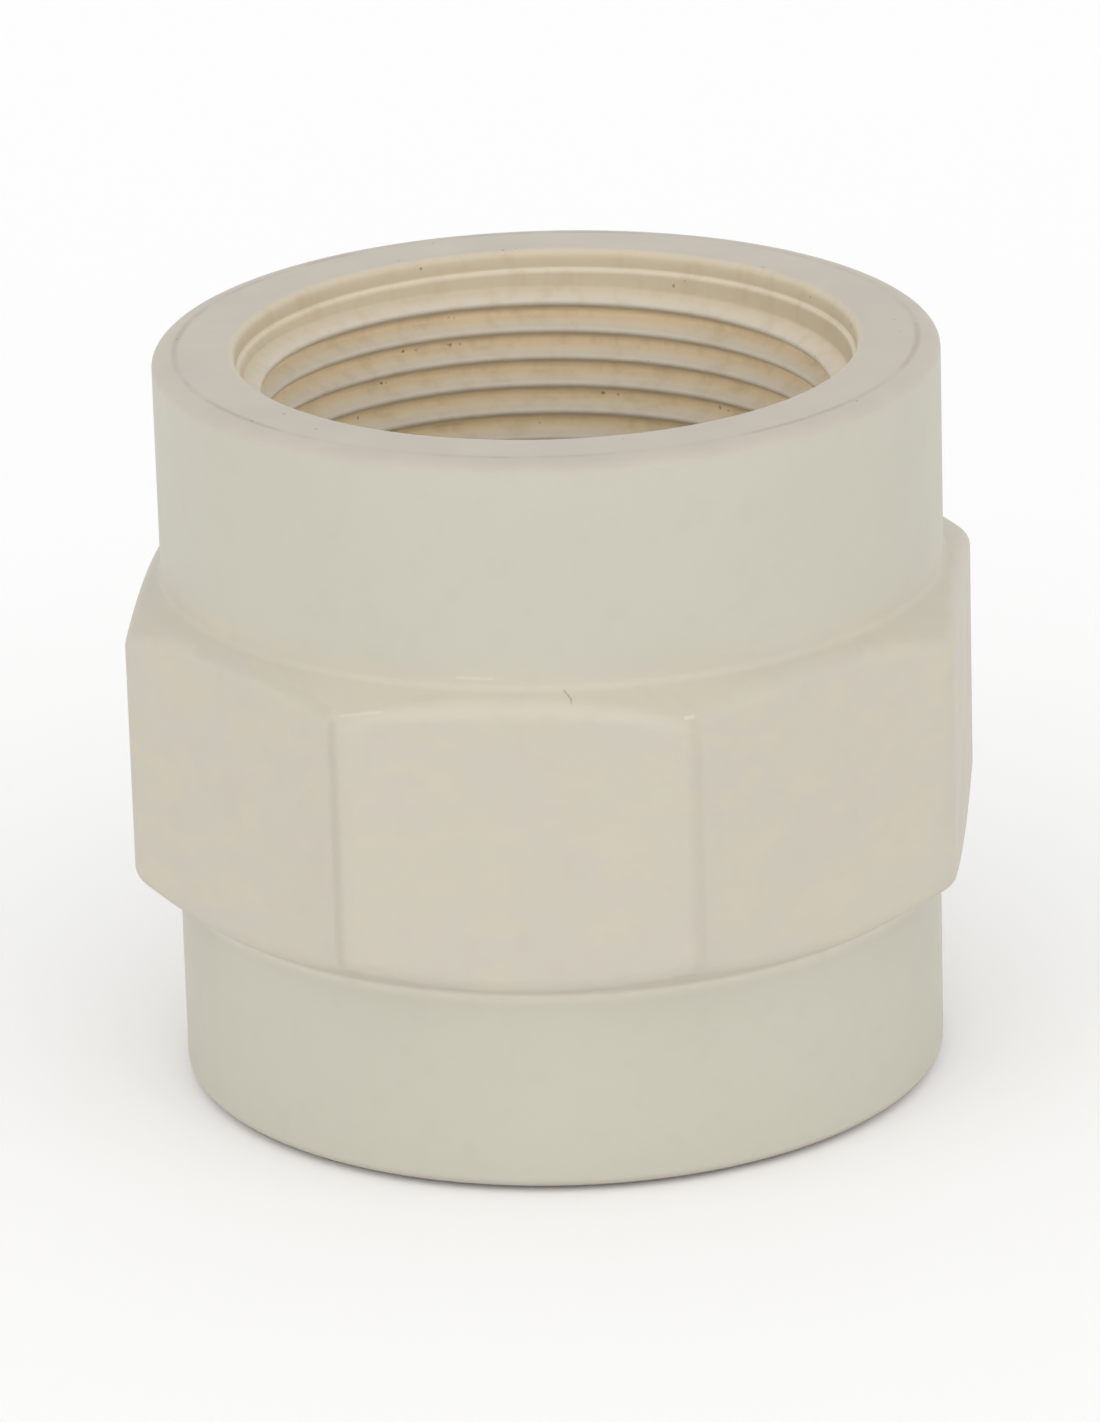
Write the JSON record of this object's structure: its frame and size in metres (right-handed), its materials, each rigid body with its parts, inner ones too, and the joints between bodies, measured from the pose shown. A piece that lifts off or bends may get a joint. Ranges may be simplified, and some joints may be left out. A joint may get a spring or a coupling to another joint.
{
  "type": "threaded pipe coupling",
  "caption": "One-piece plastic pipe coupling: a round collar at each end, an eight-sided grip band between them and an internal parallel pipe thread in each mouth.",
  "frame": {"origin": "centre of the bottom end face, on the bore's axis", "axes": "+Z along the bore, from the shorter collar's end to the longer collar's end; two of the grip band's flats face +Y and -Y"},
  "size_m": [0.065, 0.065, 0.0596],
  "materials": {
    "cream_plastic": "satin moulded plastic, cream"
  },
  "bodies": {
    "root": {"coupling_body": "cream_plastic"}
  },
  "joints": []
}
